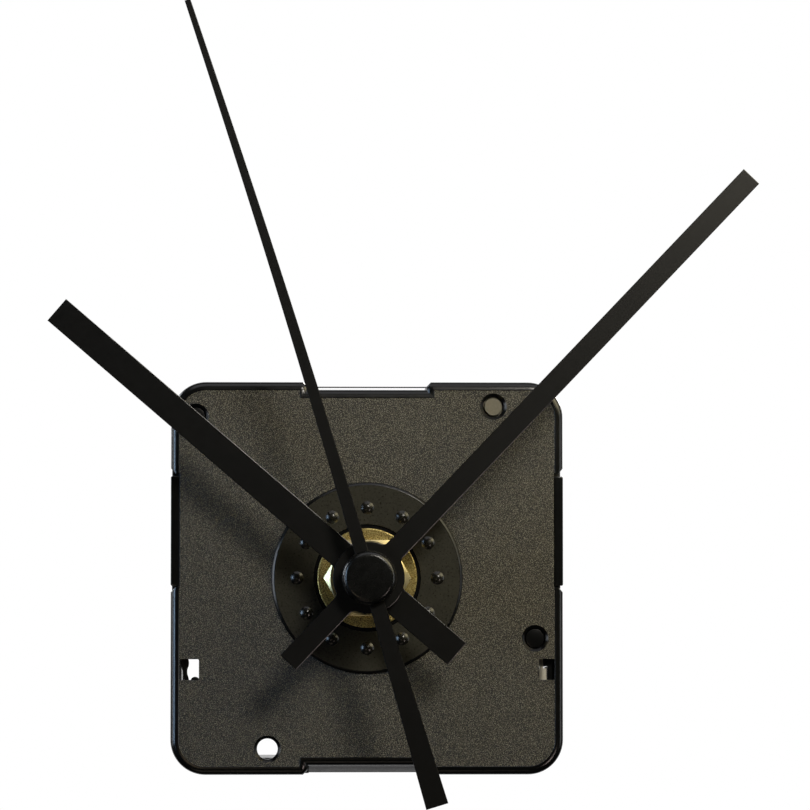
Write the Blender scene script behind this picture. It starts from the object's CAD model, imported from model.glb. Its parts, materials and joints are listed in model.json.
"""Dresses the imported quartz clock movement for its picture.

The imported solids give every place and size. This script lays smooth, finely edged
surfaces over the ones that show, gives each piece the finish of the real one, and
sets the camera, the lights and a pale floor. Sizes in the classes are millimetres:
X points right, Z up, and the dial side faces -Y. Positions along Y are called levels.
"""

import json
import logging
from dataclasses import dataclass, field
from enum import Enum, IntEnum

import bmesh
import bpy
import numpy as np
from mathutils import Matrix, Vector
from mathutils.geometry import tessellate_polygon

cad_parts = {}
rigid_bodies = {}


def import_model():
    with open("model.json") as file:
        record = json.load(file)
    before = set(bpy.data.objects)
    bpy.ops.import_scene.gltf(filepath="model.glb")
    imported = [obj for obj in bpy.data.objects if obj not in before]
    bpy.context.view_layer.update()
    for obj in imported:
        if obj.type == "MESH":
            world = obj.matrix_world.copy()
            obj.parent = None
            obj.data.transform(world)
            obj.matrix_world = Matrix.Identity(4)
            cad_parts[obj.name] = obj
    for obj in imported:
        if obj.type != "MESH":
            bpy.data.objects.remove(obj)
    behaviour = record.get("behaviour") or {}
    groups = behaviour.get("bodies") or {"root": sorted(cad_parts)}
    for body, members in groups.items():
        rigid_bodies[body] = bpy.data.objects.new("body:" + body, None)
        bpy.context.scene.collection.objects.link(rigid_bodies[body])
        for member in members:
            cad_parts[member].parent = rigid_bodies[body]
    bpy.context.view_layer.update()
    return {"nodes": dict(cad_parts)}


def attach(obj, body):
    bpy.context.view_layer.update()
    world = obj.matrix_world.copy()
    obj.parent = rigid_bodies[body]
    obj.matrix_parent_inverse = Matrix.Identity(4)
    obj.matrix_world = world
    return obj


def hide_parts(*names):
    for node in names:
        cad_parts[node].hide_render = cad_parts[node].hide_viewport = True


LOG = logging.getLogger("movement")
MILLIMETRE = 0.001
# The sRGB curve: a straight line up to its toe, and a power of the shifted value above it.
SRGB_TOE, SRGB_SLOPE, SRGB_SHIFT, SRGB_POWER = 0.04045, 12.92, 0.055, 2.4
# The wave texture turns through 20 radians per unit of its scale, so this gives one wave per unit.
WAVE_SCALE = 2 * np.pi / 20
# Brush and rolling marks are this many times longer than they are wide.
MARK_LENGTH_SHARE = 30
# Pattern values between which the roughness moves from its lowest to its highest.
GLOSS_SPAN = (0.3, 0.7)
LEAST_ROUGHNESS = 0.02
# Points closer than this many millimetres are one point.
WELD_DISTANCE = 0.0004
# Length below which an edge counts as none, so that nothing is divided by nought.
NO_LENGTH = 1e-9
# How strongly large faces pull the shading of their edges flat, from 1 to 100.
FLAT_WEIGHT = 60


# Colour and shader nodes


def linear(colour: str) -> tuple[float, float, float, float]:
    """Turns an sRGB hex colour into linear light.

    Args:
        colour: six hex digits after a hash sign.

    Returns:
        Red, green, blue and an alpha of one.
    """
    coded = np.array([int(colour[at : at + 2], 16) for at in (1, 3, 5)]) / 255
    above = ((coded + SRGB_SHIFT) / (1 + SRGB_SHIFT)) ** SRGB_POWER
    light = np.where(coded <= SRGB_TOE, coded / SRGB_SLOPE, above)
    return (*light.tolist(), 1.0)


def add_node(tree: bpy.types.NodeTree, kind: str, settings: dict, inputs: dict) -> bpy.types.Node:
    """Adds one shader node.

    Args:
        tree: the node tree that it goes into.
        kind: Blender's name for the node type.
        settings: properties of the node by name.
        inputs: a value or an output socket for each input, by name or number.

    Returns:
        The new node.
    """
    node = tree.nodes.new(kind)
    for name, value in settings.items():
        setattr(node, name, value)
    for name, value in inputs.items():
        if isinstance(value, bpy.types.NodeSocket):
            tree.links.new(value, node.inputs[name])
        else:
            node.inputs[name].default_value = value
    return node


def empty_tree(owner: bpy.types.Material | bpy.types.World) -> bpy.types.NodeTree:
    """Gives a material or a world a node tree without nodes.

    Args:
        owner: the material or the world.

    Returns:
        The empty tree.
    """
    owner.use_nodes = True
    owner.node_tree.nodes.clear()
    return owner.node_tree


def add_object(name: str, data: bpy.types.ID) -> bpy.types.Object:
    """Makes an object and links it to the scene.

    Args:
        name: the object's name.
        data: its mesh, light or camera.

    Returns:
        The new object.
    """
    item = bpy.data.objects.new(name, data)
    bpy.context.scene.collection.objects.link(item)
    return item


class Pattern(Enum):
    """What the fine structure of a surface looks like."""

    SPECKS = "specks"
    PITS = "pits"
    RINGS = "rings"
    BRUSHED = "brushed"
    WOUND = "wound"


@dataclass(frozen=True)
class Grain:
    """One layer of fine structure on a surface.

    size is the spacing of the structure as it is drawn and height its depth, both
    in millimetres. tint is how far it mixes in the second colour, and gloss how far
    it moves the roughness up and down. The second colour starts at the first pattern
    value of span, and is full at the second.
    """

    pattern: Pattern
    size: float
    height: float = 0.0
    tint: float = 0.0
    gloss: float = 0.0
    span: tuple[float, float] = (0.32, 0.68)

    def value(self, tree: bpy.types.NodeTree, place: bpy.types.NodeSocket) -> bpy.types.NodeSocket:
        """Adds the nodes of this layer.

        Args:
            tree: the material's node tree.
            place: the point in space that the pattern reads, in metres.

        Returns:
            The socket with the pattern's value, from nought to one.
        """
        scale = 1 / (self.size * MILLIMETRE)
        if self.pattern is Pattern.SPECKS:
            inputs = {"Vector": place, "Scale": scale, "Detail": 2.0, "Roughness": 0.65}
            return add_node(tree, "ShaderNodeTexNoise", {}, inputs).outputs["Fac"]
        if self.pattern is Pattern.PITS:
            settings = {"feature": "SMOOTH_F1"}
            inputs = {"Vector": place, "Scale": scale, "Smoothness": 0.6}
            return add_node(tree, "ShaderNodeTexVoronoi", settings, inputs).outputs["Distance"]
        if self.pattern in (Pattern.RINGS, Pattern.WOUND):
            rings = self.pattern is Pattern.RINGS
            settings = {"wave_type": "RINGS" if rings else "BANDS"}
            settings.update({"rings_direction": "Y"} if rings else {"bands_direction": "X"})
            inputs = {"Vector": place, "Scale": scale * WAVE_SCALE, "Detail": 1.0}
            inputs["Distortion"] = 1.5 if rings else 0.4
            return add_node(tree, "ShaderNodeTexWave", settings, inputs).outputs["Fac"]
        inputs = {"Vector": place, "Scale": (scale / MARK_LENGTH_SHARE, scale, scale)}
        stretched = add_node(tree, "ShaderNodeMapping", {}, inputs).outputs["Vector"]
        inputs = {"Vector": stretched, "Scale": 1.0, "Detail": 3.0}
        return add_node(tree, "ShaderNodeTexNoise", {}, inputs).outputs["Fac"]


@dataclass(frozen=True)
class Finish:
    """A surface as its maker would name it, with the numbers that shade it.

    colour and second are sRGB; second is the colour that the layers mix in.
    """

    name: str
    colour: str
    second: str
    roughness: float
    metallic: float = 0.0
    ior: float = 1.5
    layers: tuple[Grain, ...] = ()

    def material(self) -> bpy.types.Material:
        """Makes the node material once.

        Returns:
            The material, the same one at every call.
        """
        known = bpy.data.materials.get(self.name)
        if known is not None:
            return known
        material = bpy.data.materials.new(self.name)
        tree = empty_tree(material)
        place = add_node(tree, "ShaderNodeTexCoord", {}, {}).outputs["Object"]
        inputs: dict = {
            "Base Color": linear(self.colour),
            "Roughness": self.roughness,
            "Metallic": self.metallic,
        }
        if self.metallic == 0:
            inputs["IOR"] = self.ior
        for layer in self.layers:
            self._add_layer(tree, place, layer, inputs)
        shader = add_node(tree, "ShaderNodeBsdfPrincipled", {}, inputs)
        add_node(tree, "ShaderNodeOutputMaterial", {}, {"Surface": shader.outputs["BSDF"]})
        material.diffuse_color = linear(self.colour)
        return material

    def _add_layer(
        self, tree: bpy.types.NodeTree, place: bpy.types.NodeSocket, layer: Grain, inputs: dict
    ) -> None:
        """Mixes one layer into the colour, the roughness and the relief.

        Args:
            tree: the material's node tree.
            place: the point in space that the pattern reads.
            layer: the layer to add.
            inputs: the shader's inputs so far, which this changes.
        """
        value = layer.value(tree, place)
        if layer.tint > 0:
            low, high = layer.span
            limits = {"Value": value, "From Min": low, "From Max": high, "To Max": layer.tint}
            share = add_node(tree, "ShaderNodeMapRange", {"clamp": True}, limits).outputs["Result"]
            colours = {0: share, 6: inputs["Base Color"], 7: linear(self.second)}
            mix = add_node(tree, "ShaderNodeMix", {"data_type": "RGBA"}, colours)
            inputs["Base Color"] = mix.outputs[2]
        if layer.gloss > 0:
            limits = {
                "Value": value,
                "From Min": GLOSS_SPAN[0],
                "From Max": GLOSS_SPAN[1],
                "To Min": max(LEAST_ROUGHNESS, self.roughness - layer.gloss),
                "To Max": min(1.0, self.roughness + layer.gloss),
            }
            inputs["Roughness"] = add_node(tree, "ShaderNodeMapRange", {}, limits).outputs["Result"]
        if layer.height > 0:
            relief = {"Height": value, "Distance": layer.height * MILLIMETRE, "Strength": 1.0}
            if "Normal" in inputs:
                relief["Normal"] = inputs["Normal"]
            inputs["Normal"] = add_node(tree, "ShaderNodeBump", {}, relief).outputs["Normal"]


# The black plate is moulded ABS from a spark-eroded mould: a fine, even grain whose
# crests glint in warm grey. The real grain is near 0.1 mm, drawn at 0.12 mm to show.
PLATE_ABS = Finish(
    "spark_eroded_abs", "#0c0b08", "#aca68d", 0.42, ior=1.53,
    layers=(
        Grain(Pattern.SPECKS, 0.12, height=0.1, tint=1.0, gloss=0.12, span=(0.53, 0.64)),
        Grain(Pattern.SPECKS, 4.0, tint=0.04),
    ),
)
# The rim is the same ABS from a polished part of the mould: black, with clear reflections.
RIM_ABS = Finish(
    "polished_abs", "#0a0b0a", "#151613", 0.24, ior=1.53,
    layers=(Grain(Pattern.SPECKS, 2.6, height=0.003, gloss=0.02),),
)
# The dial seat is stoned finer than the plate, so that it looks darker and smoother.
SEAT_ABS = Finish(
    "stoned_abs", "#2a2921", "#45443a", 0.33, ior=1.48,
    layers=(
        Grain(Pattern.SPECKS, 0.3, height=0.01, tint=0.8, gloss=0.08),
        Grain(Pattern.SPECKS, 2.4, height=0.012, tint=0.5),
    ),
)
# The grip domes fill pits that were drilled in the mould and half polished: soft round glints.
DOME_ABS = Finish(
    "drilled_pit_abs", "#1c1b15", "#2e2d26", 0.25, ior=1.5,
    layers=(Grain(Pattern.SPECKS, 0.9, height=0.002, tint=0.4, gloss=0.03),),
)
# The rear case is moulded in a lightly blasted tool: satin black with a fine grain.
REAR_ABS = Finish(
    "blasted_abs", "#161511", "#37352d", 0.42, ior=1.53,
    layers=(Grain(Pattern.SPECKS, 0.2, height=0.04, tint=0.8, gloss=0.1),),
)
# Rolled brass sheet, punched and tumbled: yellow, with a fine uneven grain.
WASHER_BRASS = Finish(
    "tumbled_brass", "#d9c982", "#7d6438", 0.4, 1.0,
    layers=(
        Grain(Pattern.SPECKS, 0.15, height=0.03, tint=1.0, gloss=0.12, span=(0.42, 0.6)),
        Grain(Pattern.RINGS, 0.45, height=0.004),
    ),
)
# Free-cutting brass turned on a lathe: fine rings from the tool and bright facets. The real
# rings are near 0.08 mm apart, drawn at 0.2 mm to show.
TURNED_BRASS = Finish(
    "turned_brass", "#d9ca99", "#ab9862", 0.31, 1.0,
    layers=(
        Grain(Pattern.RINGS, 0.2, height=0.003, tint=0.4),
        Grain(Pattern.SPECKS, 0.6, height=0.004, gloss=0.06),
    ),
)
# Thin aluminium, punched and sprayed with matt black lacquer: a faint orange peel.
HAND_LACQUER = Finish(
    "black_lacquer_on_aluminium", "#060604", "#0d0c09", 0.42, ior=1.34,
    layers=(
        Grain(Pattern.SPECKS, 0.6, height=0.003, gloss=0.03),
        Grain(Pattern.SPECKS, 5.0, tint=0.6),
    ),
)
# The punched edges are burnished before lacquering, so that they glint as thin lines.
BURNISHED_EDGE = Finish(
    "lacquer_on_burnished_edge", "#0b0b08", "#14130f", 0.27, ior=1.5,
    layers=(Grain(Pattern.SPECKS, 0.9, height=0.002, gloss=0.04),),
)
# Moulded cap with a polished black face and edge.
CAP_GLOSS = Finish(
    "polished_black_cap", "#090a08", "#10110f", 0.27, ior=1.53,
    layers=(Grain(Pattern.SPECKS, 1.4, height=0.003, gloss=0.03),),
)
# Natural acetal, moulded: milky white with a soft wax-like gloss.
ACETAL = Finish(
    "natural_acetal", "#e6e2d5", "#d3cdbb", 0.38, ior=1.48,
    layers=(Grain(Pattern.SPECKS, 0.7, height=0.004, tint=0.5, gloss=0.08),),
)
# The same acetal with black pigment: dark, with the same waxy gloss.
BLACK_ACETAL = Finish(
    "black_acetal", "#1b1b18", "#2a2a25", 0.36, ior=1.48,
    layers=(Grain(Pattern.SPECKS, 0.6, height=0.006, tint=0.5, gloss=0.08),),
)
# Glass-filled polystyrene of the inner plates: beige, with faint flow marks.
BRACKET_PLASTIC = Finish(
    "filled_polystyrene", "#8f8a78", "#7a7564", 0.5, ior=1.55,
    layers=(
        Grain(Pattern.SPECKS, 0.4, height=0.01, tint=0.5, gloss=0.08),
        Grain(Pattern.BRUSHED, 1.4, tint=0.3),
    ),
)
# Nickel-plated spring steel strip: rolled along its length, bright.
NICKEL_STRIP = Finish(
    "nickel_plated_strip", "#c5c6c2", "#9b9c98", 0.24, 1.0,
    layers=(Grain(Pattern.BRUSHED, 0.12, height=0.003, tint=0.5, gloss=0.08),),
)
# The lip of the flat contact is tumbled after bending: satin, with a soft wide sheen.
SATIN_NICKEL = Finish(
    "tumbled_nickel", "#cbc6b6", "#a5a093", 0.42, 1.0,
    layers=(Grain(Pattern.SPECKS, 0.5, tint=0.3, gloss=0.03),),
)
# Cut steel of arbors and of the stator lamination: grey with fine marks.
BRIGHT_STEEL = Finish(
    "ground_steel", "#a9abac", "#7f8284", 0.28, 1.0,
    layers=(Grain(Pattern.BRUSHED, 0.2, height=0.003, tint=0.5, gloss=0.07),),
)
# Sintered magnet: dark grey and slightly porous.
SINTERED_MAGNET = Finish(
    "sintered_magnet", "#56585a", "#3a3b3d", 0.42, 0.6,
    layers=(Grain(Pattern.PITS, 0.3, height=0.02, tint=0.6, gloss=0.1),),
)
# Enamelled copper wire, turn beside turn: a fine red-brown ribbing. The real wire is
# 0.03 mm thick, drawn at 0.16 mm to show.
COPPER_WIRE = Finish(
    "enamelled_copper_wire", "#b3602c", "#6f3413", 0.28, 0.9,
    layers=(Grain(Pattern.WOUND, 0.16, height=0.03, tint=0.8, gloss=0.08),),
)
# Phenolic paper board: brown, with fibres.
PAPER_BOARD = Finish(
    "phenolic_paper_board", "#7a5329", "#5c3c1b", 0.5, ior=1.55,
    layers=(Grain(Pattern.BRUSHED, 0.3, height=0.01, tint=0.7, gloss=0.08),),
)
# Drop of epoxy that covers the chip: black and glossy, sagged smooth.
EPOXY_DROP = Finish(
    "epoxy_drop", "#0c0c0c", "#161616", 0.18, ior=1.56,
    layers=(Grain(Pattern.SPECKS, 0.9, height=0.01, gloss=0.05),),
)


# Shapes from arrays


def turn_angles(count: int) -> np.ndarray:
    """Even angles of a full turn, in radians."""
    return np.arange(count) * 2 * np.pi / count


def around(
    radius: float | np.ndarray,
    level: float | np.ndarray,
    angle: np.ndarray,
    axis: tuple[float, float] = (0.0, 0.0),
) -> np.ndarray:
    """Points round an axis along Y: the axis plus radius times cosine and sine of the angle.

    Args:
        radius: distance from the axis, for all points or each.
        level: place along Y, for all points or each.
        angle: angle from X towards Z, in radians.
        axis: X and Z of the axis.

    Returns:
        An array whose last side is X, Y and Z.
    """
    x, z = axis[0] + radius * np.cos(angle), axis[1] + radius * np.sin(angle)
    return np.stack(np.broadcast_arrays(x, level, z), -1)


def at_level(outline: np.ndarray, level: float) -> np.ndarray:
    """Sets an outline of X and Z pairs at one level, or each outline of a stack."""
    return np.stack([outline[..., 0], np.full(outline.shape[:-1], level), outline[..., 1]], -1)


def circle(radius: float, centre: tuple[float, float] = (0.0, 0.0), count: int = 64) -> np.ndarray:
    """Points of a circle: centre plus radius times cosine and sine of even angles.

    Args:
        radius: the circle's radius.
        centre: X and Z of its centre.
        count: how many points.

    Returns:
        An array of X and Z pairs, anticlockwise.
    """
    angle = turn_angles(count)
    return np.array(centre) + radius * np.stack([np.cos(angle), np.sin(angle)], 1)


def softened(
    points: np.ndarray, reach: float | np.ndarray, steps: int = 3, closed: bool = False
) -> np.ndarray:
    """Rounds the corners of a line of points.

    Each corner is replaced by a parabola from a point that lies reach before it to
    one that lies reach after it: (1-t)^2 A + 2t(1-t) V + t^2 B. Where the corners
    stand close, the curve takes a little less than half of the way between them.

    Args:
        points: the corners, as pairs.
        reach: how far from the corner the curve starts, for all or for each corner.
        steps: pieces of each curve.
        closed: whether the last point joins the first.

    Returns:
        The points of the rounded line.
    """
    corner = np.asarray(points, float)
    before, after = np.roll(corner, 1, 0), np.roll(corner, -1, 0)
    gap_before = np.linalg.norm(before - corner, axis=1, keepdims=True)
    gap_after = np.linalg.norm(after - corner, axis=1, keepdims=True)
    wide, most_share = np.broadcast_to(reach, len(corner))[:, None], 0.45
    start = corner + (before - corner) / gap_before * np.minimum(wide, gap_before * most_share)
    end = corner + (after - corner) / gap_after * np.minimum(wide, gap_after * most_share)
    t = np.linspace(0, 1, steps + 1)[None, :, None]
    curve = (1 - t) ** 2 * start[:, None] + 2 * t * (1 - t) * corner[:, None] + t**2 * end[:, None]
    if closed:
        return curve.reshape(-1, 2)
    return np.concatenate([corner[:1], curve[1:-1].reshape(-1, 2), corner[-1:]])


def rectangle(left: float, right: float, bottom: float, top: float, corner: float) -> np.ndarray:
    """Outline of a rectangle whose corners are rounded as softened says."""
    corners = np.array([[right, bottom], [right, top], [left, top], [left, bottom]])
    return softened(corners, corner, 5, closed=True)


def inset(outline: np.ndarray, distance: float) -> np.ndarray:
    """Moves a closed anticlockwise outline inwards.

    Each point moves along the mean of its two edge normals, by the distance divided
    by the cosine of half the angle between them, and by twice the distance at most.

    Args:
        outline: the closed outline.
        distance: how far each edge moves inwards.

    Returns:
        The moved outline, with as many points.
    """
    ahead = np.roll(outline, -1, 0) - outline
    ahead /= np.maximum(np.linalg.norm(ahead, axis=1, keepdims=True), NO_LENGTH)
    normal = np.stack([-ahead[:, 1], ahead[:, 0]], 1)
    mean = normal + np.roll(normal, 1, 0)
    mean /= np.maximum(np.linalg.norm(mean, axis=1, keepdims=True), NO_LENGTH)
    least_cosine = 0.5
    slant = np.maximum((mean * normal).sum(1, keepdims=True), least_cosine)
    return outline + mean * distance / slant


@dataclass
class Skin:
    """Collects the points and faces of one mesh, in millimetres."""

    points: list[np.ndarray] = field(default_factory=list)
    faces: list[tuple[int, ...]] = field(default_factory=list)
    finish_of_face: list[int] = field(default_factory=list)
    count: int = 0

    def _add(self, points: np.ndarray, faces: np.ndarray, finish: int) -> None:
        """Adds points, and faces that count from the first of them.

        Args:
            points: the points.
            faces: the numbers of the points of each face.
            finish: number of the finish of these faces.
        """
        self.points.append(np.asarray(points, float))
        self.faces.extend(map(tuple, (np.asarray(faces) + self.count).tolist()))
        self.finish_of_face.extend([finish] * len(faces))
        self.count += len(points)

    def sheet(self, grid: np.ndarray, finish: int = 0) -> None:
        """Adds a grid of points as four-sided faces. Its last column joins the first.

        Args:
            grid: points in rows and columns.
            finish: number of the finish of these faces.
        """
        rows, columns = grid.shape[:2]
        row = np.arange(rows - 1)[:, None] * columns
        column = np.arange(columns)[None, :]
        beside = (column + 1) % columns
        corners = [row + column, row + beside, row + columns + beside, row + columns + column]
        self._add(grid.reshape(-1, 3), np.stack(corners, -1).reshape(-1, 4), finish)

    def panel(
        self, level: float, outline: np.ndarray, holes: list[np.ndarray] | None = None, finish: int = 0
    ) -> None:
        """Adds a flat face at one level.

        Args:
            level: the level of the face.
            outline: its outer outline.
            holes: the outlines of its holes, if it has any.
            finish: number of the finish.
        """
        loops = [outline, *(holes or [])]
        # A third number, nought, makes each pair the point in space that the tool wants.
        flat = [np.pad(loop, ((0, 0), (0, 1))).tolist() for loop in loops]
        triangles = tessellate_polygon(flat)
        self._add(at_level(np.concatenate(loops), level), np.array(triangles), finish)

    def loft(self, outlines: list[np.ndarray], levels: list[float], finish: int = 0) -> None:
        """Adds the wall through closed outlines, each at its own level.

        Args:
            outlines: outlines with equal numbers of points.
            levels: the level of each outline.
            finish: number of the finish.
        """
        flat = np.stack(outlines)
        level = np.broadcast_to(np.array(levels, float)[:, None], flat.shape[:2])
        self.sheet(np.stack([flat[..., 0], level, flat[..., 1]], -1), finish)

    def block(self, outlines: list[np.ndarray], levels: list[float], finish: int = 0) -> None:
        """Adds a loft that is closed at both ends.

        Args:
            outlines: outlines with equal numbers of points.
            levels: the level of each outline.
            finish: number of the finish.
        """
        self.loft(outlines, levels, finish)
        self.panel(levels[0], outlines[0], finish=finish)
        self.panel(levels[-1], outlines[-1], finish=finish)

    def lathe(
        self,
        profile: np.ndarray,
        centre: tuple[float, float] = (0.0, 0.0),
        count: int = 96,
        finish: int = 0,
    ) -> None:
        """Turns a profile round an axis along Y, as around says.

        Args:
            profile: pairs of radius and level.
            centre: X and Z of the axis.
            count: how many steps make a full turn.
            finish: number of the finish.
        """
        profile = np.asarray(profile, float)
        self.sheet(around(profile[:, :1], profile[:, 1:], turn_angles(count), centre), finish)

    def rounds(
        self, rows: list[tuple], angle: np.ndarray, axis: tuple[float, float] = (0.0, 0.0)
    ) -> None:
        """Adds closed rows round an axis along Y, as around says.

        Args:
            rows: a radius and a level for each row, either one number or one for every angle.
            angle: the angles of the points of a row.
            axis: X and Z of the axis.
        """
        radius, level = (
            np.stack([np.broadcast_to(value, angle.shape) for value in column])
            for column in zip(*rows)
        )
        self.sheet(around(radius, level, angle, axis))

    def build(
        self,
        name: str,
        finishes: list[Finish],
        body: str,
        slot: str,
        replaces: list[str],
        crease: float = 33.0,
    ) -> bpy.types.Object:
        """Makes the mesh, shades it smooth between creases and ties it to the frame.

        Args:
            name: the piece's name.
            finishes: the finishes that the faces count through.
            body: the moving body that it rides on.
            slot: the slot that it takes its finish from.
            replaces: the solids that it stands for.
            crease: the angle in degrees from which an edge stays sharp.

        Returns:
            The finished object.
        """
        mesh = bpy.data.meshes.new(name)
        mesh.from_pydata(np.concatenate(self.points) * MILLIMETRE, [], self.faces)
        mesh.polygons.foreach_set("material_index", np.array(self.finish_of_face, np.int32))
        work = bmesh.new()
        work.from_mesh(mesh)
        bmesh.ops.remove_doubles(work, verts=work.verts, dist=WELD_DISTANCE * MILLIMETRE)
        bmesh.ops.recalc_face_normals(work, faces=work.faces)
        work.to_mesh(mesh)
        work.free()
        mesh.shade_smooth()
        mesh.set_sharp_from_angle(angle=np.radians(crease))
        for finish in finishes:
            mesh.materials.append(finish.material())
        piece = add_object(name, mesh)
        weighted = piece.modifiers.new("even_faces", "WEIGHTED_NORMAL")
        weighted.keep_sharp = True
        weighted.weight = FLAT_WEIGHT
        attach(piece, body)
        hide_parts(*replaces)
        LOG.info("%s: %d faces on %s", name, len(mesh.polygons), body)
        return piece


# Case


@dataclass
class CaseShape:
    """Sizes that the two halves of the case share."""

    half: float = 28.0
    corner: float = 5.0
    corner_steps: int = 18
    notch_half: float = 8.4
    notch_chamfer: float = 0.72
    seat_level: float = 0.0
    plate_level: float = 0.5
    plate_back: float = 1.8
    parting: float = 5.5
    rear_face: float = 16.5
    pin_holes: tuple[tuple[float, float], ...] = (
        (18.05, 24.5), (-14.2, -24.3), (23.98, -8.6), (-24.5, 23.0),
    )
    bay_half: float = 26.6
    bay_bottom: float = -25.75
    bay_top: float = -10.85
    knob_axis: tuple[float, float] = (-8.660254, 5.0)

    def corner_arc(self, quarter: int, inwards: float) -> np.ndarray:
        """Points of one rounded corner, moved inwards.

        Args:
            quarter: nought for the lower right, then anticlockwise.
            inwards: how far the outline lies inside the outer one.

        Returns:
            The points from one straight side to the next.
        """
        side = self.half - self.corner
        centre = np.array([(side, -side), (side, side), (-side, side), (-side, -side)][quarter])
        angle = np.radians(np.linspace(-90, 0, self.corner_steps + 1) + 90 * quarter)
        return centre + (self.corner - inwards) * np.stack([np.cos(angle), np.sin(angle)], 1)

    def edge_notch(self, inwards: float, depth: float) -> np.ndarray:
        """Corner points of the notch in the upper edge, from right to left.

        Args:
            inwards: how far the outline lies inside the outer one.
            depth: depth of the notch.

        Returns:
            Six points.
        """
        slant = inwards * (np.sqrt(2) - 1)
        mouth = self.notch_half + self.notch_chamfer + slant
        shoulder = self.half - self.notch_chamfer - slant
        side, floor = self.notch_half + inwards, self.half - depth - inwards
        right = np.array([[mouth, self.half - inwards], [side, shoulder], [side, floor]])
        return np.concatenate([right, (right * [-1, 1])[::-1]])


@dataclass(frozen=True)
class Post:
    """Round posts on the back of the plate, each with a thinner peg at its end."""

    places: tuple[tuple[float, float], ...]
    radius: float
    shoulder: float
    peg_radius: float
    end: float
    count: int


class FrontFace(IntEnum):
    """Faces of the front case, by the place of their finish in its list."""

    PLATE = 0
    RIM = 1
    SEAT = 2
    DOME = 3


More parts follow.
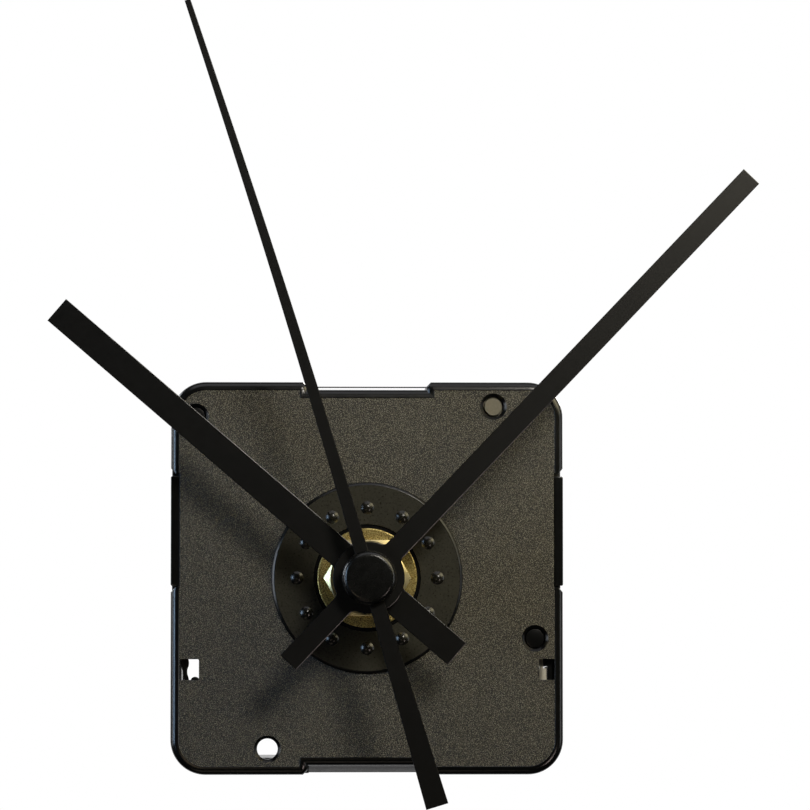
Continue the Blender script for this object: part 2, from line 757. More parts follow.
@dataclass
class FrontCase:
    """Front half of the case: textured plate, polished rim, dial seat and inner posts.

    The drafts are the small slants that let a moulding leave its tool. A window is
    given by its left, right, bottom and top, and a guide by these and its two levels.
    """

    shape: CaseShape
    rim_width: float = 1.15
    rim_depth: float = 0.9
    rim_rows: int = 10
    rim_step: float = 0.05
    rim_step_width: float = 0.06
    notch_ledge: float = 0.03
    foot_chamfer: float = 0.12
    foot_draft: float = 0.1
    wall: float = 1.3
    top_notch: float = 1.1
    bottom_notch: float = 1.3
    side_notch: tuple[float, float] = (-1.3, 14.9)
    side_notch_depth: float = 1.25
    nick_depth: float = 0.65
    nick_height: float = 0.75
    nick_points: int = 6
    nick_draft: float = 0.09
    notch_drafts: tuple[tuple[float, float], ...] = ((0.03, 0.07), (0.06, 0.06))
    wall_slant: float = 0.6
    wall_jog: float = 0.5
    hole_radius: float = 1.48
    hole_chamfer: float = 0.42
    hole_count: int = 48
    seat_radius: float = 13.65
    seat_chamfer: float = 0.36
    recess_radius: float = 7.65
    recess_level: float = 0.25
    bush_hole: float = 3.92
    flange_hole: float = 5.22
    flange_level: float = 1.19
    pip_ring: float = 10.0
    pip_radius: float = 0.94
    pip_height: float = 0.38
    pip_count: int = 12
    pip_rows: int = 9
    pip_root: float = 0.1
    windows: tuple[tuple[float, float, float, float], ...] = (
        (-26.7, -23.9, -14.55, -11.5),
        (24.5, 26.85, -14.55, -11.5),
    )
    window_corner: float = 0.25
    window_edge: float = 0.05
    nub: tuple[float, float] = (-24.5, -14.72)
    nub_radius: float = 0.66
    nub_setback: float = 0.15
    nub_edge: float = 0.2
    nub_count: int = 36
    clamp: tuple[tuple[float, float], ...] = (
        (-26.5, -11.3), (-26.5, -12.7), (-26.28, -13.2), (-26.1, -14.0),
        (-25.9, -14.7), (-25.35, -14.7), (-25.45, -14.2), (-25.64, -13.6),
        (-25.62, -13.0), (-25.4, -12.5), (-25.38, -11.9), (-25.55, -11.3),
    )
    clamp_levels: tuple[float, float] = (1.75, 2.3)
    clamp_corner: float = 0.2
    guides: tuple[tuple[float, ...], ...] = (
        (25.8, 26.95, -15.3, -11.2, 1.76, 4.2),
        (24.5, 25.9, -12.62, -11.2, 2.6, 4.2),
    )
    fine_edge: float = 0.08
    wide_count: int = 160
    small_count: int = 28
    root_level: float = 1.7
    posts: tuple[Post, ...] = (
        Post(
            ((-14.5, -7.7), (16.5, -7.7), (-14.5, 14.5), (14.5, 14.5)),
            radius=1.5, shoulder=6.65, peg_radius=0.9, end=13.2, count=32,
        ),
        Post(
            ((18.4, 19.4), (23.4, 8.6)),
            radius=1.1, shoulder=10.95, peg_radius=0.6, end=12.2, count=28,
        ),
    )
    boss_place: tuple[float, float] = (9.41, 0.0)
    boss_radius: float = 0.75
    boss_bore: float = 0.34
    boss_levels: tuple[float, float] = (1.9, 4.6)

    def _side(self) -> tuple[np.ndarray, np.ndarray, np.ndarray, np.ndarray]:
        """The right side with the notch for a snap tab, from bottom to top.

        Returns:
            Outer points, plate-side points, inner wall points, and how far inwards
            the rim's curve starts at each.
        """
        half, end = self.shape.half, self.rim_width + self.rim_step_width
        low, high = self.side_notch
        floor, edge = half - self.side_notch_depth, half - end
        share = np.linspace(0, 1, self.nick_points)
        same = np.ones_like(share)
        height = low - self.nick_height * (1 - share)
        lower = np.stack([half - self.nick_depth * share, height], 1)
        lower_in = np.stack([edge * same, height - self.nick_draft * share], 1)
        wall_height = low - self.wall
        lower_wall = np.stack([half - self.wall - self.wall_slant * share, wall_height * same], 1)
        step = np.array([[edge, low], [floor, low]])
        wall_x = floor - self.wall
        step_wall = np.array([[wall_x + self.wall_jog, wall_height], [wall_x, wall_height]])
        outer = np.concatenate([lower, step])
        plate = np.concatenate([lower_in, step - np.array(self.notch_drafts)])
        inner = np.concatenate([lower_wall, step_wall])
        start = np.concatenate([self.nick_depth * share, [end, self.side_notch_depth]])
        turned_over = np.array([1, -1])
        middle = np.array([0, low + high])
        upper = [(part * turned_over + middle)[::-1] for part in (outer, plate, inner)]
        return (
            np.concatenate([outer, upper[0]]),
            np.concatenate([plate, upper[1]]),
            np.concatenate([inner, upper[2]]),
            np.concatenate([start, start[::-1]]),
        )

    def _outlines(self) -> tuple[np.ndarray, np.ndarray, np.ndarray, np.ndarray]:
        """Outlines of the whole case: the outer one, the plate-side one and that of the inner wall.

        Returns:
            The three outlines, and how far inwards the rim's curve starts at each point.
        """
        end = self.rim_width + self.rim_step_width
        right = self._side()
        other = [(part * [-1, 1])[::-1] for part in right[:3]]
        below = np.array([-1, -1])
        notch = np.zeros(len(self.shape.edge_notch(0.0, self.top_notch)))
        parts = []
        for number, inwards in enumerate((0.0, end, self.wall)):
            parts.append(np.concatenate([
                self.shape.corner_arc(0, inwards), right[number], self.shape.corner_arc(1, inwards),
                self.shape.edge_notch(inwards, self.top_notch), self.shape.corner_arc(2, inwards),
                other[number], self.shape.corner_arc(3, inwards),
                self.shape.edge_notch(inwards, self.bottom_notch) * below,
            ]))
        arc = np.zeros(self.shape.corner_steps + 1)
        start = np.concatenate([arc, right[3], arc, notch, arc, right[3][::-1], arc, notch])
        return parts[0], parts[1], parts[2], start

    def _rim(self, skin: Skin, outer: np.ndarray, plate: np.ndarray, start: np.ndarray) -> None:
        """Adds the rounded rim.

        Along the rim's curve the distance inwards is the width times one minus the
        cosine, and the level falls with one minus the sine, so each section is a
        quarter of an ellipse. Where a notch cuts the rim, the rows outside the cut
        lie on the notch's wall.

        Args:
            skin: the mesh that it goes to.
            outer: outer outline.
            plate: outline on the plate's side.
            start: how far inwards the curve starts at each point.
        """
        angle = np.linspace(0, np.pi / 2, self.rim_rows + 1)[:, None]
        inwards = self.rim_width * (1 - np.cos(angle))
        end, plate_level = self.rim_width + self.rim_step_width, self.shape.plate_level
        cut = start >= end
        rise = (self.rim_depth + self.rim_step) * (1 - np.sin(angle))
        level = plate_level - self.rim_step + rise
        level = np.where(cut, np.maximum(level, plate_level + self.notch_ledge), level)
        level = np.broadcast_to(level, (self.rim_rows + 1, len(start)))
        share = np.clip((inwards - start) / np.maximum(end - start, NO_LENGTH), 0, 1)
        share = np.where(cut, 0.0, share)
        flat = outer + (plate - outer) * share[..., None]
        grid = np.stack([flat[..., 0], level, flat[..., 1]], -1)
        foot = at_level(flat[:1], self.shape.parting - self.foot_chamfer)
        skin.sheet(np.concatenate([foot, grid, at_level(plate[None], plate_level)]), FrontFace.RIM)

    def _seat(self, skin: Skin) -> None:
        """Adds the raised seat: its step, top, washer recess and the ring of domes.

        Each dome is a paraboloid: its height is the full height times one minus the
        square of the distance from its middle over its radius.

        Args:
            skin: the mesh that it goes to.
        """
        top = self.shape.seat_level
        corner_reaches = np.array([0, 0.05, 0.07, 0.06, 0.05, 0.05, 0.05, 0.05, 0])
        corner_steps = 3
        profile = np.array([
            [self.seat_radius, self.shape.plate_level],
            [self.seat_radius, top + self.seat_chamfer],
            [self.seat_radius - self.seat_chamfer, top],
            [self.recess_radius, top],
            [self.recess_radius, self.recess_level],
            [self.bush_hole, self.recess_level],
            [self.bush_hole, self.flange_level],
            [self.flange_hole, self.flange_level],
            [self.flange_hole, self.shape.plate_back],
        ])
        step = softened(profile, corner_reaches, corner_steps)
        # The top runs from the end of the second corner's curve to the start of the fourth's.
        first, last = 2 * (corner_steps + 1), 3 * (corner_steps + 1) + 1
        for part, finish in (
            (step[: first + 1], FrontFace.RIM),
            (step[first : last + 1], FrontFace.SEAT),
            (step[last:], FrontFace.RIM),
        ):
            skin.lathe(part, count=self.wide_count, finish=finish)
        share = np.linspace(0, 1, self.pip_rows)
        dome = np.stack([self.pip_radius * share, top - self.pip_height * (1 - share**2)], 1)
        root = np.array([[self.pip_radius, top + self.pip_root], [0, top + self.pip_root]])
        for centre in circle(self.pip_ring, count=self.pip_count):
            skin.lathe(np.concatenate([dome, root]), tuple(centre), self.small_count, FrontFace.DOME)

    def _window_details(self, skin: Skin) -> None:
        """Adds the rib that clamps the spring contact, the nub below it and the other's guides.

        Args:
            skin: the mesh that it goes to.
        """
        clamp = softened(np.array(self.clamp), self.clamp_corner, closed=True)
        front, back = self.clamp_levels
        rows = [inset(clamp, self.fine_edge), clamp, clamp]
        skin.block(rows, [front, front + self.fine_edge, back], FrontFace.RIM)
        front, back = self.shape.plate_level + self.nub_setback, self.shape.plate_back
        profile = np.array([[0, front], [self.nub_radius, front], [self.nub_radius, back], [0, back]])
        skin.lathe(softened(profile, self.nub_edge), self.nub, self.nub_count, FrontFace.RIM)
        for left, right, bottom, top, near, far in self.guides:
            guide = rectangle(left, right, bottom, top, self.fine_edge)
            skin.block([guide, guide], [near, far], FrontFace.RIM)

    def _openings(self, skin: Skin) -> tuple[list[np.ndarray], list[np.ndarray]]:
        """Adds the walls of the pin holes and windows.

        Args:
            skin: the mesh that it goes to.

        Returns:
            The outlines of the openings in the front and in the back of the plate.
        """
        front, back = [], []
        plate_level, plate_back = self.shape.plate_level, self.shape.plate_back
        radii = (self.hole_radius + self.hole_chamfer, self.hole_radius, self.hole_radius)
        for centre in self.shape.pin_holes:
            rings = [circle(radius, centre, self.hole_count) for radius in radii]
            levels = [plate_level, plate_level + self.hole_chamfer, plate_back]
            skin.loft(rings, levels, FrontFace.RIM)
            front.append(rings[0])
            back.append(rings[2])
        half, corner = self.shape.bay_half, self.window_corner
        for left, right, bottom, top in self.windows:
            edge = rectangle(left, right, bottom, top, corner)
            drafted = rectangle(max(left, -half), min(right, half), bottom, top, corner)
            rows = [edge, inset(edge, self.window_edge), drafted]
            levels = [plate_level, plate_level + self.window_edge, plate_back]
            skin.loft(rows, levels, FrontFace.RIM)
            front.append(edge)
            back.append(drafted)
        return front, back

    def _posts(self, skin: Skin) -> None:
        """Adds the pillars that carry the plates, the board's posts and a bearing boss.

        Args:
            skin: the mesh that it goes to.
        """
        root = self.root_level
        for post in self.posts:
            profile = softened(
                np.array([
                    [0, root], [post.radius, root], [post.radius, post.shoulder],
                    [post.peg_radius, post.shoulder], [post.peg_radius, post.end], [0, post.end],
                ]),
                self.fine_edge,
            )
            for place in post.places:
                skin.lathe(profile, place, post.count, FrontFace.RIM)
        bore, radius = self.boss_bore, self.boss_radius
        floor, end = self.boss_levels
        boss = np.array([
            [bore, floor], [bore, end], [radius, end], [radius, root],
            [0, root], [0, floor], [bore, floor],
        ])
        skin.lathe(boss, self.boss_place, self.small_count, FrontFace.RIM)

    def build(self) -> bpy.types.Object:
        """Builds the front case.

        Returns:
            The finished piece.
        """
        skin = Skin()
        outer, plate, inner, start = self._outlines()
        self._rim(skin, outer, plate, start)
        foot = inset(outer, self.foot_draft)
        parting, back = self.shape.parting, self.shape.plate_back
        levels = [parting - self.foot_chamfer, parting, parting, back]
        skin.loft([outer, foot, inner, inner], levels, FrontFace.RIM)
        front_holes, back_holes = self._openings(skin)
        front_holes.append(circle(self.seat_radius, count=self.wide_count))
        back_holes.append(circle(self.flange_hole, count=self.wide_count))
        skin.panel(self.shape.plate_level, plate, front_holes, FrontFace.PLATE)
        skin.panel(back, inner, back_holes, FrontFace.RIM)
        self._seat(skin)
        self._window_details(skin)
        self._posts(skin)
        finishes = [PLATE_ABS, RIM_ABS, SEAT_ABS, DOME_ABS]
        return skin.build("front_case_shell", finishes, "case", "front_plastic", ["front_case"])


class RearFace(IntEnum):
    """Faces of the rear case, by the place of their finish in its list."""

    COVER = 0
    POLISHED = 1


@dataclass
class RearCase:
    """Rear half of the case: cover, battery bay, knob well, snap tabs and pins."""

    shape: CaseShape
    setback: float = 0.05
    parting_gap: float = 0.05
    front_draft: float = 0.1
    top_recess: float = 1.22
    edge: float = 0.7
    wall: float = 1.3
    rear_wall: float = 1.2
    bay_wall: float = 0.9
    bay_wall_reach: float = 0.05
    bay_wall_levels: tuple[float, float] = (0.05, 0.4)
    bay_wall_corner: float = 0.1
    bay_corners: tuple[float, ...] = (2.6, 0.4, 0.4, 2.6)
    bay_corner_steps: int = 10
    mouth_edge: float = 0.12
    well_radius: float = 5.5
    well_wall: float = 0.9
    well_floor: float = 14.5
    well_back: float = 13.6
    well_count: int = 96
    shaft_hole: float = 1.2
    tab_levels: tuple[float, float] = (0.58, 15.3)
    tab_heights: tuple[float, float] = (-1.1, 14.5)
    tab_inner: float = 26.8
    tab_corner: float = 0.22
    bar_half: float = 9.42
    bar_heights: tuple[float, float] = (27.42, 27.58)
    bar_corner: float = 0.06
    bar_depth: float = 0.6
    block_insets: tuple[float, ...] = (0.08, 0.03, 0.0, 0.0, 0.05)
    block_front_depths: tuple[float, ...] = (0.0, 0.03, 0.1)
    block_back_edge: float = 0.05
    pin_radius: float = 1.38
    pin_level: float = 0.85
    pin_edge: float = 0.18
    pin_root: float = 0.1
    pin_count: int = 40
    slot_half: float = 8.3
    slot_draft: float = 0.05
    slot_rises: tuple[float, ...] = (1.05, 1.0, 0.72, 0.0)
    slot_depths: tuple[float, ...] = (0.0, 0.12, 1.0, 2.3)

    def _outline(self, inwards: float, rise: float = 0.0) -> np.ndarray:
        """Outline of the cover, with the notch at the top and the pry slot at the bottom.

        Args:
            inwards: how far the outline lies inside the case's own.
            rise: how far the floor of the pry slot lies above the lower edge.

        Returns:
            The outline.
        """
        side, edge = self.slot_half, inwards - self.shape.half
        floor_side = side - self.slot_draft
        floor = edge + rise
        slot = np.array([[-side, edge], [-floor_side, floor], [floor_side, floor], [side, edge]])
        return np.concatenate([
            self.shape.corner_arc(0, inwards), self.shape.corner_arc(1, inwards),
            self.shape.edge_notch(inwards, self.top_recess), self.shape.corner_arc(2, inwards),
            self.shape.corner_arc(3, inwards), slot,
        ])

    def _bay(self, grow: float) -> np.ndarray:
        """Outline of the battery bay, with corners that follow those of the case.

        Args:
            grow: how far it lies outside the bay's own outline.

        Returns:
            The outline.
        """
        half = self.shape.bay_half + grow
        bottom, top = self.shape.bay_bottom - grow, self.shape.bay_top + grow
        corners = np.array([[half, bottom], [half, top], [-half, top], [-half, bottom]])
        return softened(corners, np.array(self.bay_corners), self.bay_corner_steps, closed=True)

    def _room(self) -> np.ndarray:
        """Outline of the room for the works, above the battery bay.

        Returns:
            The outline.
        """
        floor = self.shape.bay_top + self.bay_wall
        side = self.shape.half - self.wall
        lower = np.array([[-side, floor], [side, floor]])
        without_chamfer = [0, 2, 3, 5]
        return np.concatenate([
            lower, self.shape.corner_arc(1, self.wall),
            self.shape.edge_notch(self.wall, self.top_recess)[without_chamfer],
            self.shape.corner_arc(2, self.wall),
        ])

    def _cover(self, skin: Skin) -> None:
        """Adds the outer wall with its pry slot, the rear face and the inner walls.

        The slot is a ramp for a blade: its floor falls from the first of slot_rises
        to nought over the last of slot_depths.

        Args:
            skin: the mesh that it goes to.
        """
        rear, front = self.shape.rear_face, self.shape.parting + self.parting_gap
        turn = np.radians([0, 30, 60, 90])
        depths = self.setback + self.edge * (1 - np.cos(turn))
        levels = rear - self.edge * (1 - np.sin(turn))
        insets = (self.setback + self.front_draft, self.setback, self.setback, self.setback)
        outlines = [self._outline(inwards, rise) for inwards, rise in zip(insets, self.slot_rises)]
        outlines += [self._outline(depth) for depth in depths]
        skin.loft(outlines, [*[front + depth for depth in self.slot_depths], *levels])
        edge, mouth = self.mouth_edge, self.well_radius + self.mouth_edge
        well = circle(mouth, self.shape.knob_axis, self.well_count)
        bay_mouth, bay = self._bay(edge), self._bay(0.0)
        skin.panel(rear, outlines[-1], [bay_mouth, well])
        skin.loft([bay_mouth, bay, bay], [rear, rear - edge, front], RearFace.POLISHED)
        room, ceiling = self._room(), rear - self.rear_wall
        skin.loft([room, room], [front, ceiling])
        skin.panel(front, outlines[0], [room, bay])
        outside = self.well_radius + self.well_wall
        skin.panel(ceiling, room, [circle(outside, self.shape.knob_axis, self.well_count)])
        profile = np.array([
            [mouth, rear], [self.well_radius, rear - edge], [self.well_radius, self.well_floor],
            [self.shaft_hole, self.well_floor], [self.shaft_hole, self.well_back],
            [outside, self.well_back], [outside, ceiling],
        ])
        corner_reaches = np.array([0, 0.02, 0.3, 0.1, 0.1, 0.1, 0])
        skin.lathe(softened(profile, corner_reaches), self.shape.knob_axis, self.well_count)

    def _block(
        self, skin: Skin, outline: np.ndarray, levels: tuple[float, float], finish: int
    ) -> None:
        """Adds a closed prism with finely rounded ends.

        Args:
            skin: the mesh that it goes to.
            outline: its outline.
            levels: its front and back levels.
            finish: number of its finish.
        """
        front, back = levels
        rows = [inset(outline, distance) for distance in self.block_insets]
        depths = [front + depth for depth in self.block_front_depths]
        skin.block(rows, [*depths, back - self.block_back_edge, back], finish)

    def build(self) -> bpy.types.Object:
        """Builds the rear case.

        Returns:
            The finished piece.
        """
        skin = Skin()
        self._cover(skin)
        parting = self.shape.parting
        tab = rectangle(self.tab_inner, self.shape.half, *self.tab_heights, self.tab_corner)
        self._block(skin, tab, self.tab_levels, RearFace.POLISHED)
        self._block(skin, (tab * [-1, 1])[::-1], self.tab_levels, RearFace.POLISHED)
        side, bottom = self.shape.bay_half + self.bay_wall_reach, self.shape.bay_top
        wall = rectangle(-side, side, bottom, bottom + self.bay_wall, self.bay_wall_corner)
        gap, overlap = self.bay_wall_levels
        self._block(skin, wall, (self.shape.plate_back + gap, parting + overlap), RearFace.COVER)
        bar = rectangle(-self.bar_half, self.bar_half, *self.bar_heights, self.bar_corner)
        bar_front = parting + self.parting_gap
        self._block(skin, bar, (bar_front, bar_front + self.bar_depth), RearFace.POLISHED)
        radius, front = self.pin_radius, self.pin_level
        end = self.shape.rear_face - self.rear_wall + self.pin_root
        pin = np.array([[0, front], [radius, front], [radius, end], [0, end]])
        for centre in self.shape.pin_holes[2:]:
            skin.lathe(softened(pin, self.pin_edge), centre, self.pin_count, RearFace.POLISHED)
        finishes = [REAR_ABS, RIM_ABS]
        return skin.build("rear_case_cover", finishes, "case", "rear_plastic", ["rear_case"])


# Brass fittings


@dataclass
class DialFixing:
    """Threaded bush, washer and hexagon nut that clamp the movement to a dial."""

    bush_radius: float = 3.9
    bush_front: float = -6.0
    bush_bore: float = 2.56
    end_chamfer: float = 0.35
    bore_edge: float = 0.15
    bush_count: int = 120
    thread_pitch: float = 0.75
    thread_depth: float = 0.24
    thread_row: float = 0.05
    thread_end: float = -2.4
    flank_share: float = 1.25
    root_share: float = 0.12
    flange_radius: float = 5.2
    flange_level: float = 1.2
    back: float = 1.8
    washer_radius: float = 7.1
    washer_bore: float = 4.02
    washer_levels: tuple[float, float] = (-0.275, 0.225)
    washer_edges: tuple[float, ...] = (0.05, 0.18, 0.08, 0.05)
    washer_edge_steps: int = 4
    washer_count: int = 144
    across_flats: float = 10.8
    nut_levels: tuple[float, float] = (-2.3, -0.3)
    nut_chamfer: float = 0.54
    nut_face_share: float = 0.98
    nut_edge: float = 0.05
    nut_bore_gap: float = 0.01
    nut_bore_edges: tuple[float, float] = (0.22, 0.2)
    nut_count: int = 192
    cone_rows: int = 7

    def bush(self) -> bpy.types.Object:
        """Builds the bush.

        The thread's radius is the outer radius less the depth times a triangle wave
        of level over pitch less the angle over a full turn, so it climbs one pitch
        for each turn. The wave is steepened and cut off, which leaves a flat crest and
        root, and it fades out over the last pitch. The end chamfer cuts it off.

        Returns:
            The finished piece.
        """
        skin = Skin()
        front, bore, outside = self.bush_front, self.bush_bore, self.bush_radius
        angle = turn_angles(self.bush_count)
        level = np.arange(front, self.thread_end, self.thread_row)[:, None]
        phase = (level / self.thread_pitch - angle / (2 * np.pi)) % 1
        wave = np.clip(np.abs(2 * phase - 1) * self.flank_share - self.root_share, 0, 1)
        fade = np.clip((self.thread_end - level) / self.thread_pitch, 0, 1)
        radius = outside - self.thread_depth * (1 - wave) * fade
        radius = np.minimum(radius, outside - self.end_chamfer + (level - front))
        skin.sheet(around(radius, level, angle))
        mouth, last = bore + self.bore_edge, level[-1, 0]
        skin.rounds([(mouth, front), (radius[0], front)], angle)
        skin.rounds([(radius[-1], last), (outside, last)], angle)
        rest = np.array([
            [outside, last], [outside, self.flange_level],
            [self.flange_radius, self.flange_level], [self.flange_radius, self.back],
            [bore, self.back], [bore, front + self.bore_edge], [mouth, front],
        ])
        skin.lathe(rest, count=self.bush_count)
        return skin.build("threaded_bush_brass", [TURNED_BRASS], "case", "brass", ["threaded_bush"])

    def washer(self) -> bpy.types.Object:
        """Builds the washer.

        Returns:
            The finished piece.
        """
        front, back = self.washer_levels
        section = np.array([
            [self.washer_bore, front], [self.washer_radius, front],
            [self.washer_radius, back], [self.washer_bore, back],
        ])
        profile = softened(section, np.array(self.washer_edges), self.washer_edge_steps, closed=True)
        skin = Skin()
        skin.lathe(np.concatenate([profile, profile[:1]]), count=self.washer_count)
        return skin.build("dial_washer_brass", [WASHER_BRASS], "case", "brass", ["dial_washer"])

    def nut(self) -> bpy.types.Object:
        """Builds the hexagon nut.

        The side's radius is half the width across the flats divided by the cosine of
        the angle from the middle of the nearest flat. The chamfer is a cone: its
        level rises in proportion to the distance outside the face circle, which
        leaves the curved edges that a turned chamfer has.

        Returns:
            The finished piece.
        """
        front, back = self.nut_levels
        flat = self.across_flats / 2
        face = flat * self.nut_face_share
        sixth, twelfth = np.pi / 3, np.pi / 6
        angle = turn_angles(self.nut_count)
        side = flat / np.cos(angle % sixth - twelfth)
        slope = self.nut_chamfer / (flat / np.cos(twelfth) - face)
        cone = face + (side - face) * np.linspace(0, 1, self.cone_rows)[:, None]
        bore, edge = self.bush_radius + self.nut_bore_gap, self.nut_edge
        front_edge, back_edge = self.nut_bore_edges
        skin = Skin()
        rows = [
            (bore, front + front_edge), (bore + front_edge, front), (face - edge, front),
            *zip(cone, front + (cone - face) * slope),
            (side, back - edge), (side - edge, back), (bore + back_edge, back),
            (bore, back - back_edge), (bore, front + front_edge),
        ]
        skin.rounds(rows, angle)
        return skin.build("dial_nut_brass", [TURNED_BRASS], "case", "brass", ["dial_nut"], crease=12)


# Hands


class HandFace(IntEnum):
    """Faces of a hand, by the place of their finish in its list."""

    FLAT = 0
    FRONT_EDGE = 1


@dataclass
class Hand:
    """A flat punched hand: blade, round hub and tail, with burnished edges."""

    name: str
    body: str
    angle: float
    reach: float
    tail: float
    hub_width: float
    tip_width: float
    tail_width: float
    hub: float
    back: float
    thickness: float
    fillet: float = 0.8
    edge: float = 0.08
    edge_drop: float = 0.03
    bow: float = 0.0
    bend: float = 0.0
    blade_points: int = 25
    fillet_points: int = 7
    hub_points: int = 33
    tail_points: int = 5

    def _half_width(self, along: np.ndarray) -> np.ndarray:
        """Half the width at a distance along the hand, straight from hub to either end.

        Args:
            along: distances from the hub, negative on the tail.

        Returns:
            Half the width at each.
        """
        tip = self.hub_width + (self.tip_width - self.hub_width) * along / self.reach
        tail = self.hub_width + (self.tail_width - self.hub_width) * -along / self.tail
        return np.where(along >= 0, tip, tail) / 2

    def _upper_side(self) -> np.ndarray:
        """Points of the upper edge from tip to tail.

        The hub is an arc of a circle. A small arc of the fillet's radius joins it to
        the straight edge on either side: its centre lies the fillet's radius above
        the edge, and the sum of both radii from the hub's centre.

        Returns:
            Pairs of the distance along and across the hand.
        """
        fillet, outer = self.fillet, self.hub + self.fillet
        half, tail_half = self._half_width(np.array([self.hub, -self.hub])).tolist()
        start = np.sqrt(outer**2 - (half + fillet) ** 2)
        end = np.sqrt(outer**2 - (tail_half + fillet) ** 2)
        first = np.arctan2(half + fillet, start)
        last = np.arctan2(tail_half + fillet, end)
        blade = np.linspace(self.reach, start, self.blade_points)
        turn = np.linspace(-np.pi / 2, first - np.pi, self.fillet_points)[1:-1]
        round_hub = np.linspace(first, np.pi - last, self.hub_points)
        turn_back = np.linspace(-last, -np.pi / 2, self.fillet_points)[1:-1]
        tail = np.linspace(-end, -self.tail, self.tail_points)
        parts = (
            (blade, self._half_width(blade)),
            (start + fillet * np.cos(turn), half + fillet * (1 + np.sin(turn))),
            (self.hub * np.cos(round_hub), self.hub * np.sin(round_hub)),
            (fillet * np.cos(turn_back) - end, tail_half + fillet * (1 + np.sin(turn_back))),
            (tail, self._half_width(tail)),
        )
        return np.concatenate([np.stack(part, 1) for part in parts])

    def _turned(self, local: np.ndarray) -> np.ndarray:
        """Bends an outline as the hand is bent, and turns it to the hand's angle.

        The blade's bow is half a sine wave over its length. The bend leans blade and
        tail to the same side, in proportion to the distance from the hub.

        Args:
            local: points along and across the hand.

        Returns:
            The points in X and Z.
        """
        along = local[:, 0]
        bow = self.bow * np.sin(np.pi * np.clip(along / self.reach, 0, 1))
        angle = np.radians(self.angle)
        across = local[:, 1] + bow + np.abs(along) * np.tan(np.radians(self.bend))
        x = along * np.cos(angle) - across * np.sin(angle)
        z = along * np.sin(angle) + across * np.cos(angle)
        return np.stack([x, z], 1)

    def build(self) -> bpy.types.Object:
        """Builds the hand.

        Returns:
            The finished piece.
        """
        upper = self._upper_side()
        outline = np.concatenate([upper, (upper * [1, -1])[::-1]])
        front = self.back - self.thickness
        insets = [self.edge, 0, 0, self.edge]
        levels = [front, front + self.edge_drop, self.back - self.edge_drop, self.back]
        rows = [self._turned(inset(outline, distance)) for distance in insets]
        skin = Skin()
        skin.loft(rows[:2], levels[:2], HandFace.FRONT_EDGE)
        skin.loft(rows[1:], levels[1:], HandFace.FLAT)
        skin.panel(levels[0], rows[0], finish=HandFace.FLAT)
        skin.panel(levels[-1], rows[-1], finish=HandFace.FLAT)
        name, finishes = self.name + "_blade", [HAND_LACQUER, BURNISHED_EDGE]
        return skin.build(name, finishes, self.body, "hand_paint", [self.name], crease=15)


@dataclass
class HandSet:
    """The three hands and the cap in front of them."""

    cap_radius: float = 3.8
    cap_face: float = 2.95
    cap_front: float = -15.31
    cap_back: float = -13.61
    cap_shoulder: float = 1.15
    cap_edge: float = 0.04
    cap_rows: int = 13
    cap_count: int = 128
    hands: tuple[Hand, ...] = (
        Hand(
            "hour_hand", "hour_set", angle=139.35, reach=57.75, tail=16.4, hub_width=4.0,
            tip_width=4.0, tail_width=4.0, hub=5.0, back=-8.3, thickness=0.4,
        ),
        Hand(
            "minute_hand", "minute_set", angle=46.35, reach=78.03, tail=16.35, hub_width=3.0,
            tip_width=3.0, tail_width=3.0, hub=5.0, back=-10.8, thickness=0.4,
        ),
        Hand(
            "second_hand", "seconds_set", angle=107.05, reach=84.7, tail=33.15, hub_width=1.98,
            tip_width=0.84, tail_width=3.2, hub=2.2, back=-13.3, thickness=0.3, bow=-0.4, bend=0.45,
        ),
    )

    def cap(self) -> bpy.types.Object:
        """Builds the cap: a flat face and a shoulder that is a quarter of an ellipse.

        Returns:
            The finished piece.
        """
        outside, back = self.cap_radius, self.cap_back
        angle = np.linspace(np.pi / 2, 0, self.cap_rows)
        radius = self.cap_face + (outside - self.cap_face) * np.cos(angle)
        level = self.cap_front + self.cap_shoulder * (1 - np.sin(angle))
        rest = np.array([[outside, back - self.cap_edge], [outside - self.cap_edge, back], [0, back]])
        profile = np.concatenate([[[0, self.cap_front]], np.stack([radius, level], 1), rest])
        skin = Skin()
        skin.lathe(profile, count=self.cap_count)
        replaced = ["second_hand_cap"]
        return skin.build("second_hand_cap_gloss", [CAP_GLOSS], "seconds_set", "cap_paint", replaced)

    def build(self) -> None:
        """Builds all hands and the cap."""
        for hand in self.hands:
            hand.build()
        self.cap()


# Pieces at the back


@dataclass
class SettingKnob:
    """Ridged knob in the well of the rear case."""

    axis: tuple[float, float]
    radius: float = 4.6
    ridge: float = 0.25
    ridges: int = 24
    front: float = 14.6
    back: float = 16.35
    dish_radius: float = 3.2
    dish_floor: float = 15.85
    dish_corner: float = 0.1
    dish_edge: float = 0.08
    rim_edge: float = 0.22
    rim_shoulder: tuple[float, float] = (0.07, 0.06)
    under_edge: float = 0.1
    ridge_points: int = 10

    def build(self) -> bpy.types.Object:
        """Builds the knob.

        Its side's radius is the full radius less half the ridge's height times one
        minus the cosine of the ridge count times the angle.

        Returns:
            The finished piece.
        """
        angle = turn_angles(self.ridges * self.ridge_points)
        side = self.radius - self.ridge * (1 - np.cos(self.ridges * angle)) / 2
        dish, floor, front, back = self.dish_radius, self.dish_floor, self.front, self.back
        shoulder_in, shoulder_down = self.rim_shoulder
        rows = [
            (0.0, floor), (dish - self.dish_corner, floor), (dish, floor + self.dish_edge),
            (dish + self.dish_edge, back), (side - self.rim_edge, back),
            (side - shoulder_in, back - shoulder_down), (side, back - self.rim_edge),
            (side, front + self.under_edge), (side - self.under_edge, front), (0.0, front),
        ]
        skin = Skin()
        skin.rounds(rows, angle, self.axis)
        replaced = ["setting_knob"]
        name, finishes = "setting_knob_ridged", [BLACK_ACETAL]
        return skin.build(name, finishes, "setting_set", "black_plastic", replaced)


